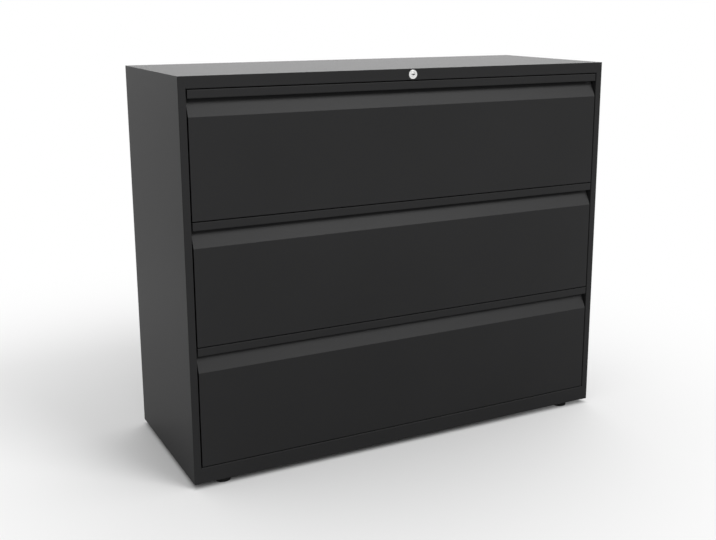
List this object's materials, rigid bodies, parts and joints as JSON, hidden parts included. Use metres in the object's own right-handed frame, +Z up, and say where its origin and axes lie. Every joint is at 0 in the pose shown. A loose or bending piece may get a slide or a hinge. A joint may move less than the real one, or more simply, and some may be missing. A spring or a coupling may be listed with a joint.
{
  "type": "lateral filing cabinet",
  "caption": "Wide low filing cabinet in dark painted steel, with full-width drawers on telescopic slides, slanted finger recesses along their fronts and a central lock.",
  "frame": {"origin": "on the floor under the middle of the case", "axes": "+Z up, +X to the right as seen from the front, the drawers open along -Y"},
  "size_m": [1.2, 0.463, 0.997],
  "materials": {
    "paint": "satin powder coat, very dark grey",
    "zinc": "bright zinc plate",
    "chrome": "satin nickel",
    "foot_plastic": "moulded nylon"
  },
  "bodies": {
    "case": {"left_side_panel": "paint", "right_side_panel": "paint", "top_panel": "paint", "top_rear_strip": "paint", "back_panel": "paint", "base_panel": "paint", "plinth_rail": "paint", "rear_base_rail": "paint", "front_left_upright": "paint", "front_right_upright": "paint", "rear_left_upright": "paint", "rear_right_upright": "paint", "lock_housing": "chrome", "drawer_1_left_case_slide": "zinc", "drawer_1_right_case_slide": "zinc", "drawer_2_left_case_slide": "zinc", "drawer_2_right_case_slide": "zinc", "drawer_3_left_case_slide": "zinc", "drawer_3_right_case_slide": "zinc"},
    "drawer_1": {"drawer_1_front": "paint", "drawer_1_liner": "paint", "drawer_1_tray": "paint", "drawer_1_back": "paint", "drawer_1_file_rail": "zinc", "drawer_1_lock_catch": "zinc", "drawer_1_left_drawer_slide": "zinc", "drawer_1_right_drawer_slide": "zinc"},
    "drawer_1_left_middle": {"drawer_1_left_middle_slide": "zinc"},
    "drawer_1_right_middle": {"drawer_1_right_middle_slide": "zinc"},
    "drawer_2": {"drawer_2_front": "paint", "drawer_2_liner": "paint", "drawer_2_tray": "paint", "drawer_2_back": "paint", "drawer_2_file_rail": "zinc", "drawer_2_lock_catch": "zinc", "drawer_2_left_drawer_slide": "zinc", "drawer_2_right_drawer_slide": "zinc"},
    "drawer_2_left_middle": {"drawer_2_left_middle_slide": "zinc"},
    "drawer_2_right_middle": {"drawer_2_right_middle_slide": "zinc"},
    "drawer_3": {"drawer_3_front": "paint", "drawer_3_liner": "paint", "drawer_3_tray": "paint", "drawer_3_back": "paint", "drawer_3_file_rail": "zinc", "drawer_3_lock_catch": "zinc", "drawer_3_left_drawer_slide": "zinc", "drawer_3_right_drawer_slide": "zinc"},
    "drawer_3_left_middle": {"drawer_3_left_middle_slide": "zinc"},
    "drawer_3_right_middle": {"drawer_3_right_middle_slide": "zinc"},
    "lock_plug": {"lock_plug": "chrome", "lock_cam": "zinc"},
    "lock_transfer": {"lock_transfer_bar": "zinc"},
    "lock_bar": {"lock_bar": "zinc", "lock_tab_1": "zinc", "lock_tab_2": "zinc", "lock_tab_3": "zinc"},
    "foot_front_left": {"foot_front_left": "foot_plastic"},
    "foot_front_right": {"foot_front_right": "foot_plastic"},
    "foot_rear_left": {"foot_rear_left": "foot_plastic"},
    "foot_rear_right": {"foot_rear_right": "foot_plastic"}
  },
  "joints": [
    {"name": "drawer_1_slide", "type": "slide", "parent": "case", "child": "drawer_1", "axis": [0, -1, 0], "range_m": [0, 0.4]},
    {"name": "drawer_1_left_middle_travel", "type": "slide", "parent": "case", "child": "drawer_1_left_middle", "axis": [0, -1, 0], "range_m": [0, 0.2]},
    {"name": "drawer_1_right_middle_travel", "type": "slide", "parent": "case", "child": "drawer_1_right_middle", "axis": [0, -1, 0], "range_m": [0, 0.2]},
    {"name": "drawer_2_slide", "type": "slide", "parent": "case", "child": "drawer_2", "axis": [0, -1, 0], "range_m": [0, 0.4]},
    {"name": "drawer_2_left_middle_travel", "type": "slide", "parent": "case", "child": "drawer_2_left_middle", "axis": [0, -1, 0], "range_m": [0, 0.2]},
    {"name": "drawer_2_right_middle_travel", "type": "slide", "parent": "case", "child": "drawer_2_right_middle", "axis": [0, -1, 0], "range_m": [0, 0.2]},
    {"name": "drawer_3_slide", "type": "slide", "parent": "case", "child": "drawer_3", "axis": [0, -1, 0], "range_m": [0, 0.4]},
    {"name": "drawer_3_left_middle_travel", "type": "slide", "parent": "case", "child": "drawer_3_left_middle", "axis": [0, -1, 0], "range_m": [0, 0.2]},
    {"name": "drawer_3_right_middle_travel", "type": "slide", "parent": "case", "child": "drawer_3_right_middle", "axis": [0, -1, 0], "range_m": [0, 0.2]},
    {"name": "lock_turn", "type": "hinge", "parent": "case", "child": "lock_plug", "pos_m": [0, -0.23, 0.98275], "axis": [0, 1, 0], "range_deg": [0, 90]},
    {"name": "lock_transfer_travel", "type": "slide", "parent": "case", "child": "lock_transfer", "axis": [-1, 0, 0], "range_m": [0, 0.01]},
    {"name": "lock_bar_lift", "type": "slide", "parent": "case", "child": "lock_bar", "axis": [0, 0, 1], "range_m": [0, 0.01]},
    {"name": "foot_front_left_turn", "type": "hinge", "parent": "case", "child": "foot_front_left", "pos_m": [-0.52, -0.202, 0], "axis": [0, 0, 1], "continuous": true},
    {"name": "foot_front_right_turn", "type": "hinge", "parent": "case", "child": "foot_front_right", "pos_m": [0.52, -0.202, 0], "axis": [0, 0, 1], "continuous": true},
    {"name": "foot_rear_left_turn", "type": "hinge", "parent": "case", "child": "foot_rear_left", "pos_m": [-0.52, 0.202, 0], "axis": [0, 0, 1], "continuous": true},
    {"name": "foot_rear_right_turn", "type": "hinge", "parent": "case", "child": "foot_rear_right", "pos_m": [0.52, 0.202, 0], "axis": [0, 0, 1], "continuous": true}
  ],
  "couplings": [
    {"joint": "drawer_1_left_middle_travel", "follows": "drawer_1_slide", "ratio": 0.5},
    {"joint": "drawer_1_right_middle_travel", "follows": "drawer_1_slide", "ratio": 0.5},
    {"joint": "drawer_2_left_middle_travel", "follows": "drawer_2_slide", "ratio": 0.5},
    {"joint": "drawer_2_right_middle_travel", "follows": "drawer_2_slide", "ratio": 0.5},
    {"joint": "drawer_3_left_middle_travel", "follows": "drawer_3_slide", "ratio": 0.5},
    {"joint": "drawer_3_right_middle_travel", "follows": "drawer_3_slide", "ratio": 0.5},
    {"joint": "lock_transfer_travel", "follows": "lock_bar_lift", "ratio": 1},
    {"joint": "lock_turn", "follows": "lock_bar_lift", "rad_per_m": 157.08}
  ]
}
